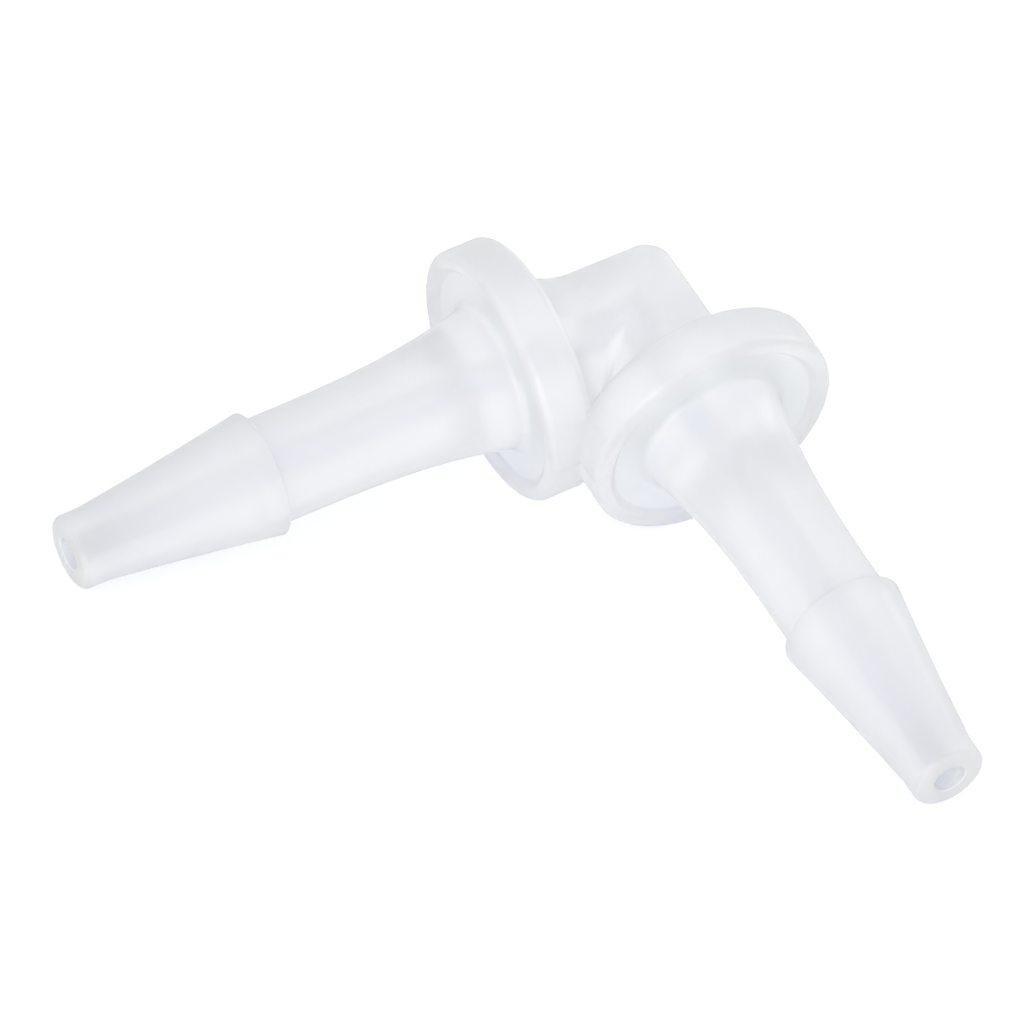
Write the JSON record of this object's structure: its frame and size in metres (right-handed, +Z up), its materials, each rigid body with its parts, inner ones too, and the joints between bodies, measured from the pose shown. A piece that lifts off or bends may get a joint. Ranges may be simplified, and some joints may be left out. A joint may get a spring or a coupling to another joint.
{
  "type": "elbow hose connector",
  "caption": "One-piece right-angle hose connector: equal barbed spigots on thick disc flanges, joined by a short elbow body, with a small bore right through.",
  "frame": {"origin": "under the middle of the part's box, on the surface that the part lies on", "axes": "+Z up; the part is the same on both sides of the plane X = 0; the arms point to -Y, one towards +X and one towards -X, and slope down to their tips"},
  "size_m": [0.0302, 0.017, 0.0085],
  "materials": {
    "natural_polypropylene": "milky, satin, slightly see-through at thin edges"
  },
  "bodies": {
    "root": {"elbow_connector": "natural_polypropylene"}
  },
  "joints": []
}
